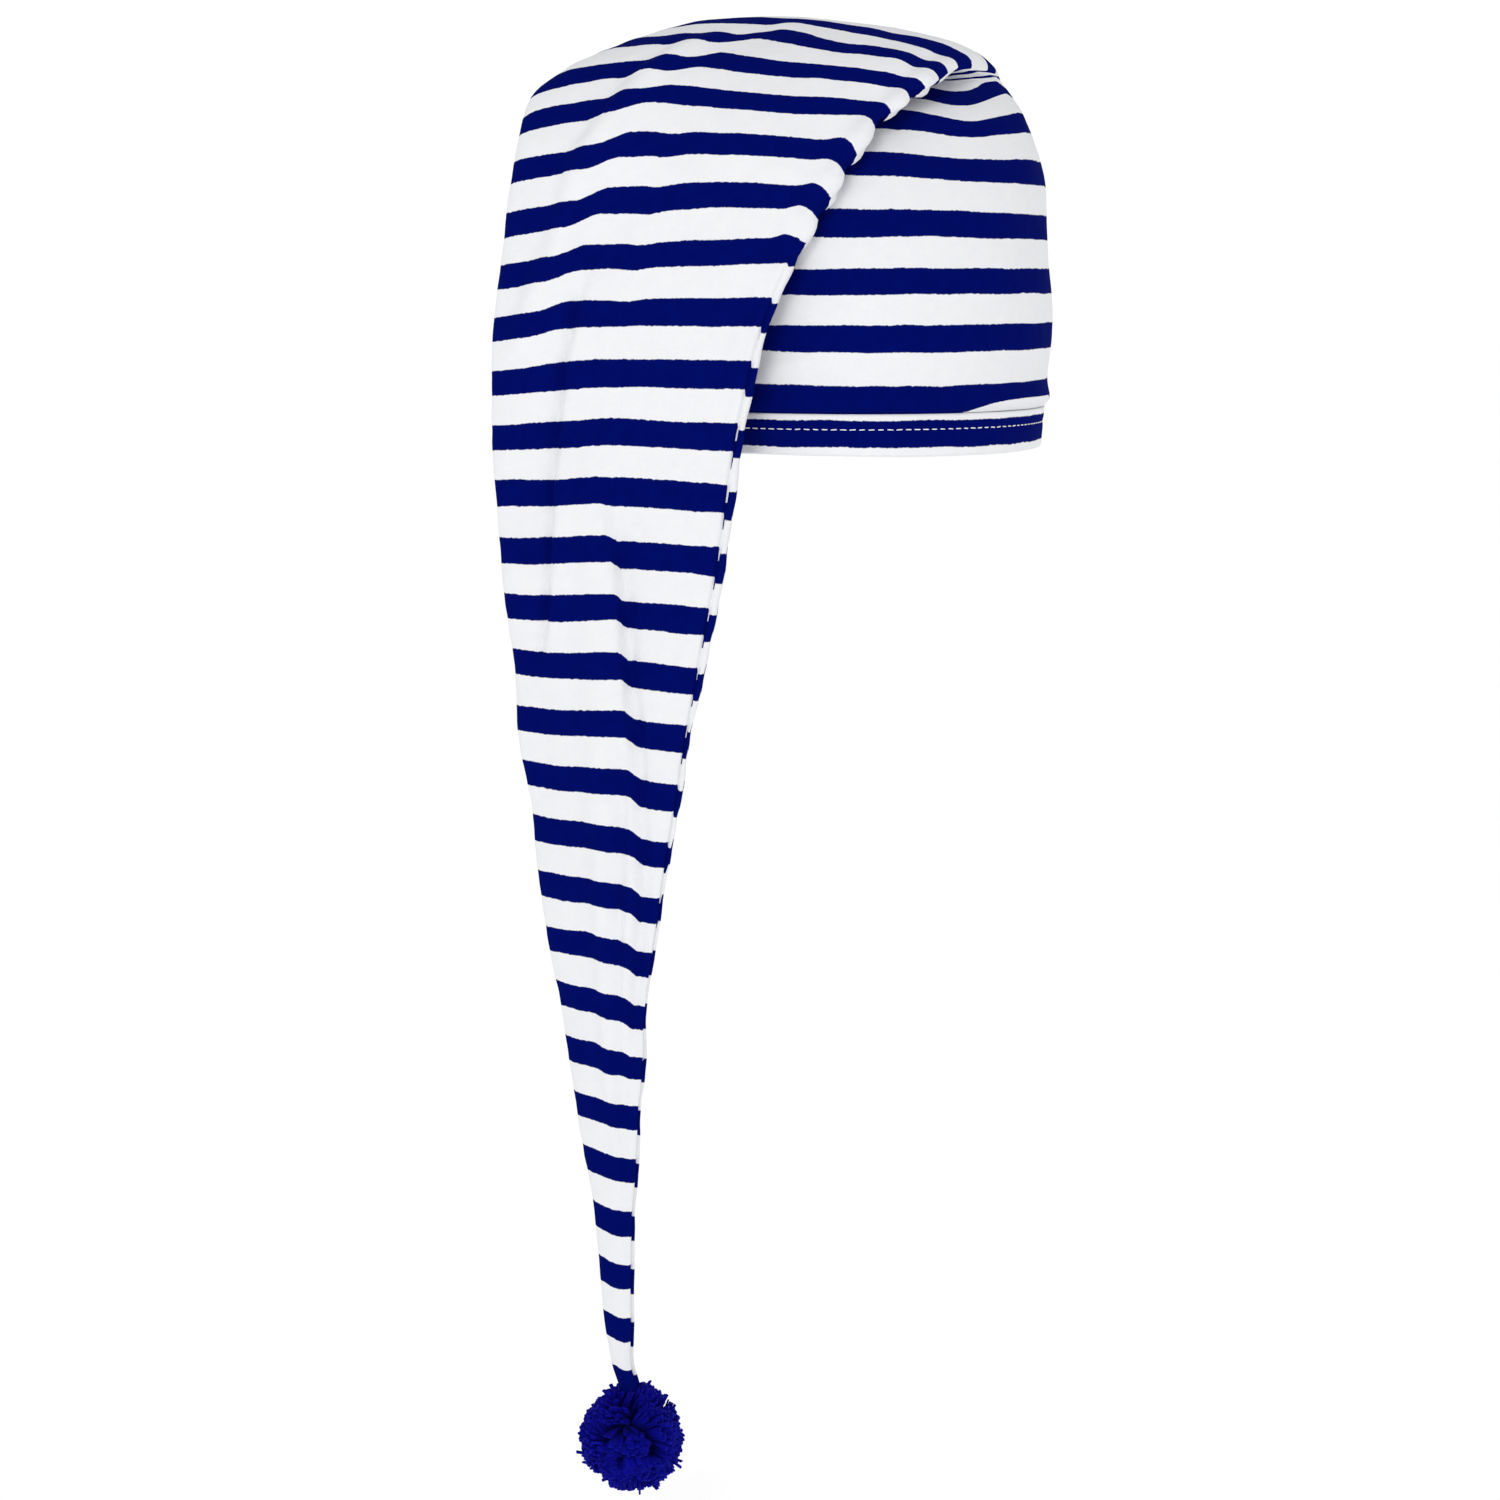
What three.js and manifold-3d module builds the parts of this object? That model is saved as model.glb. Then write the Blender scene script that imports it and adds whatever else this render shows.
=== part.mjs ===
// A long striped jersey nightcap, as it hangs when it is worn.
// Millimetres, +Z up. Seen from the front, +X is to the right and -Y is towards the viewer.
// The origin is the middle of the head opening, in the plane of the hem.

import * as THREE from "three";
import { mergeVertices } from "three/addons/utils/BufferGeometryUtils.js";
import Module from "manifold-3d";

const wasm = await Module();
wasm.setup();

// Head opening and crown
const HEAD_HALF_WIDTH = 85;
const HEAD_HALF_DEPTH = 94;
const CROWN_HEIGHT = 170;
const CLOTH = 1.6;

// Turned hem, and the cloth that puffs out over it
const HEM_HEIGHT = 19;
const HEM_THICKNESS = 2.6;
const PUFF = 2.2;
const PUFF_RISE = 5;
const SEAM_GAP = 0.3;

// Tail: its reach to the side, its drop below the hem, and its flat size
const TAIL_REACH = 169;
const TAIL_DROP = 437.5;
const TAIL_WIDTH = 113;
const TIP_WIDTH = 12;
const TAIL_HALF_THICKNESS = 8;
const TIP_HALF_THICKNESS = 4.5;
const TIP_WALL = 3.2;

// Roundness of the sections, from the full crown to the flat tail: 2 is an ellipse, more is blunter
const CROWN_ROUND_POWER = 2.1;
const TAIL_ROUND_POWER = 2.4;

// Pompom, hanging under the tip
const POMPOM_DIAMETER = 49;
const POMPOM_SIDE_STEP = 2.5;
const LOCK_LENGTH = 6.5;
const LOCK_WIDTH = 8;
const LOCK_END_WIDTH = 4;
const LOCK_UNEVENNESS = 0.15;
const LOCK_COUNT = 84;
const LOCK_SIDES = 4;
const CORE_DETAIL = 3;
const TIP_PLACE_SIDES = 20;

// Fineness of the faceted cloth
const SIDES = 40;
const RING_STEP = 20;
const HEM_RINGS = 2;

// Sections of the crown and of the fold over the top.
// along: distance from the hem along the cloth, in crown heights
// right, right_back, right_up: the right end, in half widths, half depths and crown heights
// reach: the left end, from 0 at the head's side to 1 at the tail's far edge
// left_back, left_up: that end, in half depths and crown heights
// outer, inner: fullness behind and in front of the line between the ends, 1 round and 0 flat
// tilt: degrees that the section has turned over; bow: how proud its middle is, in half depths
const CROWN_SHARES = [
  ["along", "right", "right_back", "right_up", "reach", "left_back", "left_up", "outer", "inner", "tilt", "bow"],
  [0.0, 0.965, -0.245, 0.0, -0.036, 0.245, 0.0, 0.98, 0.99, 0, 0],
  [0.13, 0.988, -0.245, 0.13, -0.012, 0.245, 0.13, 1.0, 1.0, 0, 0],
  [0.35, 1.024, -0.235, 0.353, 0.012, 0.235, 0.353, 1.01, 1.0, 0, 0],
  [0.59, 0.996, -0.21, 0.588, 0.0, 0.21, 0.588, 0.99, 0.94, 0, 0],
  [0.76, 0.974, -0.18, 0.755, -0.036, 0.18, 0.765, 0.93, 0.81, 0, 0],
  [0.94, 0.882, -0.13, 0.9, -0.06, 0.13, 0.915, 0.77, 0.57, 2, 0],
  [1.12, 0.76, -0.07, 0.99, -0.09, 0.1, 1.02, 0.585, 0.3, 6, 0],
  [1.27, 0.72, -0.15, 1.01, -0.06, 0.02, 1.085, 0.36, 0.14, 20, 0],
  [1.42, 0.62, -0.28, 1.018, 0.036, -0.065, 1.085, 0.185, 0.05, 42, 0.02],
  [1.57, 0.51, -0.41, 1.012, 0.226, -0.17, 1.07, 0.085, 0.0, 66, 0.045],
  [1.74, 0.395, -0.55, 0.98, 0.476, -0.32, 1.03, 0.015, 0.0, 92, 0.09],
  [1.91, 0.25, -0.71, 0.925, 0.77, -0.48, 0.93, 0.0, 0.0, 122, 0.1],
  [2.07, 0.03, -0.84, 0.83, 0.84, -0.57, 0.82, 0.0, 0.0, 146, 0.09],
  [2.24, -0.14, -0.94, 0.71, 0.885, -0.62, 0.69, 0.0, 0.0, 162, 0.07],
  [2.41, -0.31, -0.99, 0.56, 0.93, -0.64, 0.51, 0.0, 0.0, 172, 0.05],
  [2.65, -0.5, -1.02, 0.34, 0.98, -0.66, 0.29, 0.0, 0.0, 180, 0.03],
];

// Sections of the hanging tail.
// drop: how far below the hem, as a share of TAIL_DROP
// middle: distance from the tail's far edge, in tail widths
// width: from 1, as wide as the tail, to 0, as narrow as the tip
// left_back, right_back: the two edges, in half depths
// fullness: from 1, as thick as the tail, to 0, as thin as the tip
const TAIL_SHARES = [
  ["drop", "middle", "width", "left_back", "right_back", "fullness"],
  [0.0, 0.502, 1.0, -0.67, -1.03, 1.0],
  [0.1, 0.49, 0.905, -0.68, -1.03, 0.95],
  [0.24, 0.462, 0.73, -0.7, -1.02, 0.8],
  [0.43, 0.438, 0.477, -0.75, -1.0, 0.55],
  [0.56, 0.442, 0.311, -0.79, -0.98, 0.35],
  [0.69, 0.461, 0.18, -0.83, -0.96, 0.2],
  [0.81, 0.48, 0.066, -0.86, -0.945, 0.08],
  [0.93, 0.498, 0.015, -0.885, -0.94, 0.02],
  [1.0, 0.52, 0.0, -0.9, -0.94, 0.0],
];

// Long soft folds in the tail's front layer.
// from, to: where they run along the cloth, in crown heights from the hem
// start, end: their place across, from -1 at the left edge to 1 at the right edge
// height: how far they stand proud, in tail half thicknesses; spread: how wide they are, across
const FOLD_SHARES = [
  ["from", "to", "start", "end", "height", "spread"],
  [1.6, 2.8, -0.2, -0.8, 0.45, 0.22],
  [2.2, 4.0, -0.3, -0.8, -0.35, 0.16],
  [2.8, 5.0, -0.22, 0.32, 0.4, 0.2],
  [2.9, 5.1, 0.12, 0.62, -0.3, 0.16],
];

function mix(from, to, share) {
  return from + (to - from) * share;
}

function readTable([names, ...rows]) {
  return rows.map((row) => Object.fromEntries(row.map((value, index) => [names[index], value])));
}

// One section's ends, fullness and lean in millimetres, from a row of the crown's table
function crownSection(row) {
  const roundness = HEAD_HALF_DEPTH - TAIL_HALF_THICKNESS;
  return {
    along: row.along * CROWN_HEIGHT,
    rightX: row.right * HEAD_HALF_WIDTH,
    rightY: row.right_back * HEAD_HALF_DEPTH,
    rightZ: row.right_up * CROWN_HEIGHT,
    leftX: -mix(HEAD_HALF_WIDTH, TAIL_REACH, row.reach),
    leftY: row.left_back * HEAD_HALF_DEPTH,
    leftZ: row.left_up * CROWN_HEIGHT,
    outer: TAIL_HALF_THICKNESS + row.outer * roundness,
    inner: TAIL_HALF_THICKNESS + row.inner * roundness,
    tilt: THREE.MathUtils.degToRad(row.tilt),
    bow: row.bow * HEAD_HALF_DEPTH,
  };
}

// The same for the hanging tail, whose first section is level with the hem
function tailSection(row, alongAtHem) {
  const halfWidth = mix(TIP_WIDTH, TAIL_WIDTH, row.width) / 2;
  const middle = -TAIL_REACH + row.middle * TAIL_WIDTH;
  const halfThickness = mix(TIP_HALF_THICKNESS, TAIL_HALF_THICKNESS, row.fullness);
  return {
    along: alongAtHem + row.drop * TAIL_DROP,
    rightX: middle + halfWidth,
    rightY: row.right_back * HEAD_HALF_DEPTH,
    rightZ: -row.drop * TAIL_DROP,
    leftX: middle - halfWidth,
    leftY: row.left_back * HEAD_HALF_DEPTH,
    leftZ: -row.drop * TAIL_DROP,
    outer: halfThickness,
    inner: halfThickness,
    tilt: Math.PI,
    bow: 0,
  };
}

function allSections() {
  const crown = readTable(CROWN_SHARES).map(crownSection);
  const last = crown[crown.length - 1];
  const alongAtHem = last.along + (last.rightZ + last.leftZ) / 2;
  const tail = readTable(TAIL_SHARES).map((row) => tailSection(row, alongAtHem));
  return [...crown, ...tail];
}

const sections = allSections();
const folds = readTable(FOLD_SHARES);
const capLength = sections[sections.length - 1].along;

// The slope of one value at a section, from its two neighbours
function slopeAt(index, key) {
  const before = sections[Math.max(index - 1, 0)];
  const here = sections[index];
  const after = sections[Math.min(index + 1, sections.length - 1)];
  const run = after.along - before.along;
  if (before === here || after === here) return (after[key] - before[key]) / run;
  const slopeIn = (here[key] - before[key]) / (here.along - before.along);
  const slopeOut = (after[key] - here[key]) / (after.along - here.along);
  return (slopeIn * (after.along - here.along) + slopeOut * (here.along - before.along)) / run;
}

// A smooth section at any distance from the hem
function sectionAt(along) {
  const last = sections.length - 2;
  const index = Math.min(Math.max(sections.findLastIndex((row) => row.along <= along), 0), last);
  const lower = sections[index];
  const upper = sections[index + 1];
  const run = upper.along - lower.along;
  const t = (along - lower.along) / run;
  const blend = {};
  for (const key of Object.keys(lower)) {
    blend[key] =
      (1 + 2 * t) * (1 - t) ** 2 * lower[key] +
      t * (1 - t) ** 2 * run * slopeAt(index, key) +
      t * t * (3 - 2 * t) * upper[key] +
      t * t * (t - 1) * run * slopeAt(index + 1, key);
  }
  return blend;
}

// How far the front layer of the tail stands proud at a place across it
function foldHeight(along, across) {
  let height = 0;
  for (const fold of folds) {
    const share = (along / CROWN_HEIGHT - fold.from) / (fold.to - fold.from);
    if (share > 0 && share < 1) {
      const distance = (across - mix(fold.start, fold.end, share)) / fold.spread;
      height += fold.height * Math.sin(Math.PI * share) * Math.exp(-distance * distance);
    }
  }
  return height * TAIL_HALF_THICKNESS;
}

// A round power that turns from an ellipse on the head to blunt ends where the cloth lies flat
function corner(value, power) {
  return Math.sign(value) * Math.abs(value) ** power;
}

// A point of the cloth: inset is measured in from the outside
function clothPoint(along, turn, inset) {
  const section = sectionAt(along);
  const right = new THREE.Vector3(section.rightX, section.rightY, section.rightZ);
  const left = new THREE.Vector3(section.leftX, section.leftY, section.leftZ);
  const across = right.clone().sub(left);
  const halfWidth = across.length() / 2;
  across.normalize();
  const back = new THREE.Vector3(-across.y, across.x, 0).normalize();
  const up = across.clone().cross(back);
  const outwards = back.multiplyScalar(Math.cos(section.tilt)).addScaledVector(up, Math.sin(section.tilt));

  const flatness = 1 - Math.min(section.outer / halfWidth, 1);
  const power = 2 / mix(CROWN_ROUND_POWER, TAIL_ROUND_POWER, flatness);
  const u = corner(Math.cos(turn), power);
  const v = corner(Math.sin(turn), power);
  const depth = v > 0 ? section.outer : section.inner;
  const fold = v > 0 ? foldHeight(along, u) * v : 0;
  const overHem = along > HEM_HEIGHT ? (along - HEM_HEIGHT - PUFF_RISE) / PUFF_RISE : Infinity;
  const puff = PUFF * Math.exp(-overHem * overHem);
  const grow = puff - inset;
  return right
    .add(left)
    .multiplyScalar(0.5)
    .addScaledVector(across, (halfWidth + grow) * u)
    .addScaledVector(outwards, (depth + grow) * v + fold + section.bow * (1 - u * u));
}

// A ring of points round the cloth
function clothRing(along, inset) {
  return Array.from({ length: SIDES }, (_, side) => clothPoint(along, (side / SIDES) * Math.PI * 2, inset));
}

// Closes rings of points into one solid; with closed ends they become two caps
function solidOfRings(rings, joinEnds) {
  const positions = rings.flat().flatMap((point) => [point.x, point.y, point.z]);
  const triangles = [];
  const bands = joinEnds ? rings.length : rings.length - 1;
  for (let band = 0; band < bands; band++) {
    const here = band * SIDES;
    const next = ((band + 1) % rings.length) * SIDES;
    for (let side = 0; side < SIDES; side++) {
      const beside = (side + 1) % SIDES;
      triangles.push(here + side, here + beside, next + side);
      triangles.push(here + beside, next + beside, next + side);
    }
  }
  if (!joinEnds) {
    for (const [ring, flip] of [[0, true], [rings.length - 1, false]]) {
      const middle = rings[ring].reduce((sum, point) => sum.add(point), new THREE.Vector3()).divideScalar(SIDES);
      const hub = positions.length / 3;
      positions.push(middle.x, middle.y, middle.z);
      for (let side = 0; side < SIDES; side++) {
        const a = ring * SIDES + side;
        const b = ring * SIDES + ((side + 1) % SIDES);
        triangles.push(...(flip ? [b, a, hub] : [a, b, hub]));
      }
    }
  }
  const geometry = new THREE.BufferGeometry();
  geometry.setAttribute("position", new THREE.Float32BufferAttribute(positions, 3));
  geometry.setIndex(triangles);
  return geometry;
}

function evenSteps(from, to, step) {
  const count = Math.ceil((to - from) / step);
  return Array.from({ length: count + 1 }, (_, index) => mix(from, to, index / count));
}

// Crown and tail: one sewn tube of jersey, open at the hem and closed at the tip
function capBody() {
  const start = HEM_HEIGHT + SEAM_GAP;
  const outside = evenSteps(start, capLength, RING_STEP);
  const inside = evenSteps(start, capLength - TIP_WALL, RING_STEP).reverse();
  const rings = [
    ...inside.map((along) => clothRing(along, CLOTH)),
    ...outside.map((along) => clothRing(along, 0)),
  ];
  return solidOfRings(rings, false);
}

// Hem: the cloth turned up and stitched, a doubled band under the crown's edge
function hemBand() {
  const upwards = evenSteps(0, HEM_HEIGHT, HEM_HEIGHT / HEM_RINGS);
  const rings = [
    ...upwards.map((along) => clothRing(along, 0)),
    ...upwards.reverse().map((along) => clothRing(along, HEM_THICKNESS)),
  ];
  return solidOfRings(rings, true);
}

function toSolid(geometry) {
  const bare = geometry.clone();
  bare.deleteAttribute("normal");
  bare.deleteAttribute("uv");
  const merged = mergeVertices(bare);
  const mesh = new wasm.Mesh({
    numProp: 3,
    vertProperties: new Float32Array(merged.attributes.position.array),
    triVerts: new Uint32Array(merged.index.array),
  });
  return new wasm.Manifold(mesh);
}

function toGeometry(solid) {
  const mesh = solid.getMesh();
  const geometry = new THREE.BufferGeometry();
  geometry.setAttribute("position", new THREE.BufferAttribute(new Float32Array(mesh.vertProperties), 3));
  geometry.setIndex(new THREE.BufferAttribute(new Uint32Array(mesh.triVerts), 1));
  geometry.computeVertexNormals();
  return geometry;
}

// Directions spread evenly over a ball, in a spiral from pole to pole
function spreadDirection(index, count) {
  const height = 1 - (2 * (index + 0.5)) / count;
  const radius = Math.sqrt(1 - height * height);
  const turn = index * Math.PI * (3 - Math.sqrt(5));
  return new THREE.Vector3(radius * Math.cos(turn), radius * Math.sin(turn), height);
}

// One tuft of yarn, standing out of the pompom's core
function lock(direction, coreRadius, rise) {
  const geometry = new THREE.CylinderGeometry(LOCK_END_WIDTH / 2, LOCK_WIDTH / 2, LOCK_LENGTH, LOCK_SIDES);
  geometry.translate(0, coreRadius + rise - LOCK_LENGTH / 2, 0);
  geometry.applyQuaternion(new THREE.Quaternion().setFromUnitVectors(new THREE.Vector3(0, 1, 0), direction));
  return toSolid(geometry);
}

// Pompom: tufts on a round core, with a place at the top where the tip is sewn in
function pompom() {
  const coreRadius = POMPOM_DIAMETER / 2 - LOCK_LENGTH / 2;
  const tip = sections[sections.length - 1];
  const tipX = (tip.rightX + tip.leftX) / 2;
  const tipY = (tip.rightY + tip.leftY) / 2;
  const centre = new THREE.Vector3(tipX + POMPOM_SIDE_STEP, tipY, -TAIL_DROP - SEAM_GAP - coreRadius);

  let solid = toSolid(new THREE.IcosahedronGeometry(coreRadius, CORE_DETAIL));
  for (let index = 0; index < LOCK_COUNT; index++) {
    const rise = (LOCK_LENGTH / 2) * (1 - LOCK_UNEVENNESS * (1 - Math.sin(index * index)));
    solid = solid.add(lock(spreadDirection(index, LOCK_COUNT), coreRadius, rise));
  }
  solid = solid.translate(centre.x, centre.y, centre.z);

  const placeRadius = TIP_WIDTH / 2 + CLOTH;
  const place = new THREE.CylinderGeometry(placeRadius, placeRadius, LOCK_LENGTH, TIP_PLACE_SIDES);
  place.rotateX(Math.PI / 2);
  place.translate(tipX, tipY, -TAIL_DROP - SEAM_GAP + LOCK_LENGTH / 2);
  return toGeometry(solid.subtract(toSolid(place)));
}

function cloth(color, roughness) {
  return new THREE.MeshStandardMaterial({ color, roughness, metalness: 0 });
}

function named(name, geometry, material) {
  const mesh = new THREE.Mesh(geometry, material);
  mesh.name = name;
  return mesh;
}

const nightcap = new THREE.Group();
nightcap.add(
  named("cap_body", capBody(), cloth(0xf1f1f5, 0.9)),
  named("hem_band", hemBand(), cloth(0x06146b, 0.9)),
  named("pompom", pompom(), cloth(0x0a1180, 1.0))
);

export default nightcap;
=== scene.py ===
import math

import bpy
import numpy as np
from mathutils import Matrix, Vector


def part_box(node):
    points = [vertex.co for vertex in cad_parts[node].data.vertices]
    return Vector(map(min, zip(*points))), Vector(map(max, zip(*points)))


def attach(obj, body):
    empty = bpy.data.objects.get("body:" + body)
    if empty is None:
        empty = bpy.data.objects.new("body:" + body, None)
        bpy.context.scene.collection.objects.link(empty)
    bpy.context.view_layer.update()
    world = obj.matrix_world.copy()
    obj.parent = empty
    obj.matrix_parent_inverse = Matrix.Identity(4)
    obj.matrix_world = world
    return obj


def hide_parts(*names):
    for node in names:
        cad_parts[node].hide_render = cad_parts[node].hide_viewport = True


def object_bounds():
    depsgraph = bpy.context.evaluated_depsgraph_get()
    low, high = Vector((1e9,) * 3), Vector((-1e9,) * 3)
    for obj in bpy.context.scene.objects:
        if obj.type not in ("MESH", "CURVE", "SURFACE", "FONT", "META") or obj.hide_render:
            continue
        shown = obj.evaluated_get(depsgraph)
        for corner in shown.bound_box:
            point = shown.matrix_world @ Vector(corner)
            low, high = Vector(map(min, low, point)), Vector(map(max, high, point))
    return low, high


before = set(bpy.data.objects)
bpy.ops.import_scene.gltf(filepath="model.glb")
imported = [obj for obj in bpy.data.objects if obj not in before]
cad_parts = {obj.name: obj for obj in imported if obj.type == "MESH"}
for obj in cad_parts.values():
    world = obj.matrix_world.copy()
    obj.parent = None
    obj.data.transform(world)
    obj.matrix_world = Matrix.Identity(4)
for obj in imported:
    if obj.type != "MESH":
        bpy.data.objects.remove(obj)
cad_low, cad_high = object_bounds()

# Driving sizes, in metres. The hem, the reach and the drop come from the frame.
MM = 0.001
body_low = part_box("cap_body")[0]
hem_low, hem_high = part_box("hem_band")
pompom_low, pompom_high = (np.array(corner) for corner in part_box("pompom"))

HEAD_HALF_WIDTH = 85 * MM
HEAD_HALF_DEPTH = 94 * MM
CROWN_HEIGHT = 170 * MM
CLOTH = 1.5 * MM

HEM_HEIGHT = hem_high[2] - hem_low[2]
HEM_THICKNESS = 2.6 * MM
SEAM_GAP = 0.3 * MM

TAIL_REACH = -body_low[0]
TAIL_DROP = -body_low[2]
TAIL_WIDTH = 113 * MM
TIP_WIDTH = 12 * MM
TAIL_HALF_THICKNESS = 8 * MM
TIP_HALF_THICKNESS = 4.5 * MM

# Roundness of the sections, from the full crown to the flat tail: 2 is an ellipse, more is blunter
CROWN_ROUND_POWER = 2.1
TAIL_ROUND_POWER = 2.4

# The crown's cloth starts a little inside the hem's edge and puffs out over it
PUFF = 2.4 * MM
PUFF_RISE = 6.5 * MM
PUFF_TURN = 1.3 * MM
PUFF_START = 1.4

# The yarn of the pompom draws the tail's end in, and turns it a little to the side.
# The drawing in fades out between two distances from the tip.
TIP_DRAWN_IN = 0.22
TIP_DRAWN_FADE = (12 * MM, 38 * MM)
TIP_TURN = 2.5 * MM
TIP_TURN_LENGTH = 16 * MM

# Stripes: one blue and one white make a pitch
STRIPE_PITCH = 26.5 * MM
BLUE_WIDTH = 12.3 * MM
BLUE_STRIPES = 36
FIRST_CROWN_BLUE = 25 * MM
LAST_BLUE = FIRST_CROWN_BLUE + (BLUE_STRIPES - 1) * STRIPE_PITCH
HEM_BLUE = 10.1 * MM
HEM_BLUE_WIDTH = 12.2 * MM
RIM_WHITE = 1 * MM

# Unevenness of the stripes' edges, fine and slow, and half the width over which the colour changes
STRIPE_WANDER = 1.5 * MM
STRIPE_DRIFT = 1.6 * MM
STRIPE_EDGE = 0.22 * MM

# Knit: how wide a stitch is, how far apart the rows are, and how many rows a loop leans over.
# Its height is made of loops, ribs and fuzz, in these shares.
WALE = 1.25 * MM
COURSE = 0.95 * MM
LOOP_LEAN = 1.6
KNIT_DEPTH = 0.3 * MM
LOOP_SHARE = 0.35
RIB_SHARE = 0.65
FUZZ_SHARE = 0.9

# Hem: its slow waves, in and out and up and down, and how far its stitches pull it in.
# A stitch rises out of the cloth in its middle and dives in at its ends, in thread widths.
HEM_WAVE = 0.35 * MM
HEM_WAVE_LENGTH = 34 * MM
HEM_LIFT = 0.5 * MM
HEM_LIFT_LENGTH = 60 * MM
STITCH_PULL = 0.45 * MM
STITCH_PULL_WIDTH = 1.2 * MM
STITCH_HEIGHT = 12.2 * MM
STITCH_PITCH = 4.2 * MM
STITCH_LENGTH = 2.8 * MM
STITCH_VARIETY = (0.88, 1.08)
STITCH_LEAN = 0.12 * MM
STITCH_RISE = 0.42
STITCH_DIVE = 0.8
THREAD = 0.48 * MM

# Side seam, near the tail's right edge. Its inset narrows to a share of itself down the tail, and the
# seam sets in where the tail leaves the fold, both between two places along the cloth in crown heights.
# Behind it, the stripes lie a little lower.
SEAM_INSET = 4.5 * MM
SEAM_TIP_SHARE = 0.12
SEAM_NARROWS = (3.2, 4.4)
SEAM_STARTS = (2.3, 2.7)
SEAM_DEPTH = 1.7 * MM
SEAM_WIDTH = 1.0 * MM
SEAM_SHARPNESS = 0.6 * MM
BACK_DRIFT = 3 * MM

# Fineness of the meshes. A tube that is steeper than STEEP takes its sides from another axis.
RING_STEP = 2.9 * MM
INSIDE_RING_STEP = 8 * MM
SIDES = 224
HEM_OUTER_ROWS = 16
HEM_ROLL_ROWS = 9
HEM_INNER_ROWS = 8
STITCH_RING_SIDES = 1440
STITCH_POINTS = 7
STITCH_SIDES = 8
STEEP = 0.9

# Sections of the crown and of the fold over the top.
# along: distance from the hem along the cloth, in crown heights
# right, right_back, right_up: the right end, in half widths, half depths and crown heights
# reach: the left end, from 0 at the head's side to 1 at the tail's far edge
# left_back, left_up: that end, in half depths and crown heights
# outer, inner: fullness behind and in front of the line between the ends, 1 round and 0 flat
# tilt: how far the section has turned over the fold, in degrees
# bow: how far its middle is bent outwards, in half depths
CROWN_COLUMNS = (
    "along", "right", "right_back", "right_up", "reach", "left_back", "left_up", "outer", "inner", "tilt",
    "bow",
)
CROWN_SECTIONS = (
    (0.0, 0.965, -0.245, 0.0, -0.036, 0.245, 0.0, 0.98, 0.99, 0, 0),
    (0.13, 0.988, -0.245, 0.13, -0.012, 0.245, 0.13, 1.0, 1.0, 0, 0),
    (0.35, 1.024, -0.235, 0.353, 0.012, 0.235, 0.353, 1.01, 1.0, 0, 0),
    (0.59, 0.996, -0.21, 0.588, 0.0, 0.21, 0.588, 0.99, 0.94, 0, 0),
    (0.76, 0.974, -0.18, 0.755, -0.036, 0.18, 0.765, 0.93, 0.81, 0, 0),
    (0.94, 0.882, -0.13, 0.9, -0.06, 0.13, 0.915, 0.77, 0.57, 2, 0),
    (1.12, 0.76, -0.07, 0.99, -0.09, 0.1, 1.02, 0.585, 0.3, 6, 0),
    (1.27, 0.72, -0.15, 1.01, -0.06, 0.02, 1.085, 0.36, 0.14, 20, 0),
    (1.42, 0.62, -0.28, 1.018, 0.036, -0.065, 1.085, 0.185, 0.05, 42, 0.02),
    (1.57, 0.51, -0.41, 1.012, 0.226, -0.17, 1.07, 0.085, 0.0, 66, 0.045),
    (1.74, 0.395, -0.55, 0.98, 0.476, -0.32, 1.03, 0.015, 0.0, 92, 0.09),
    (1.91, 0.25, -0.71, 0.925, 0.77, -0.48, 0.93, 0.0, 0.0, 122, 0.1),
    (2.07, 0.03, -0.84, 0.83, 0.84, -0.57, 0.82, 0.0, 0.0, 146, 0.09),
    (2.24, -0.14, -0.94, 0.71, 0.885, -0.62, 0.69, 0.0, 0.0, 162, 0.07),
    (2.41, -0.31, -0.99, 0.56, 0.93, -0.64, 0.51, 0.0, 0.0, 172, 0.05),
    (2.65, -0.5, -1.02, 0.34, 0.98, -0.66, 0.29, 0.0, 0.0, 180, 0.03),
)

# Sections of the hanging tail.
# drop: from 0 at the hem's height to 1 at the tip
# middle: from the tail's far edge, in tail widths
# width: from 0 at the tip's width to 1 at the tail's
# left_back, right_back: in half depths
# fullness: from 0 at the tip's thickness to 1 at the tail's
TAIL_COLUMNS = ("drop", "middle", "width", "left_back", "right_back", "fullness")
TAIL_SECTIONS = (
    (0.0, 0.502, 1.0, -0.67, -1.03, 1.0),
    (0.1, 0.49, 0.905, -0.68, -1.03, 0.95),
    (0.24, 0.462, 0.73, -0.7, -1.02, 0.8),
    (0.43, 0.438, 0.477, -0.75, -1.0, 0.55),
    (0.56, 0.442, 0.311, -0.79, -0.98, 0.35),
    (0.69, 0.461, 0.18, -0.83, -0.96, 0.2),
    (0.81, 0.48, 0.066, -0.86, -0.945, 0.08),
    (0.93, 0.498, 0.015, -0.885, -0.94, 0.02),
    (1.0, 0.52, 0.0, -0.9, -0.94, 0.0),
)

# Long soft folds of the tail's front layer
SOFT_FOLDS = (
    # from and to along the cloth in crown heights, start and end across it,
    # height in tail half thicknesses, half width across it
    (1.6, 2.8, -0.2, -0.8, 0.45, 0.22),
    (2.2, 4.0, -0.3, -0.8, -0.35, 0.16),
    (2.8, 5.0, -0.22, 0.32, 0.4, 0.2),
    (2.9, 5.1, 0.12, 0.62, -0.3, 0.16),
)

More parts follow.
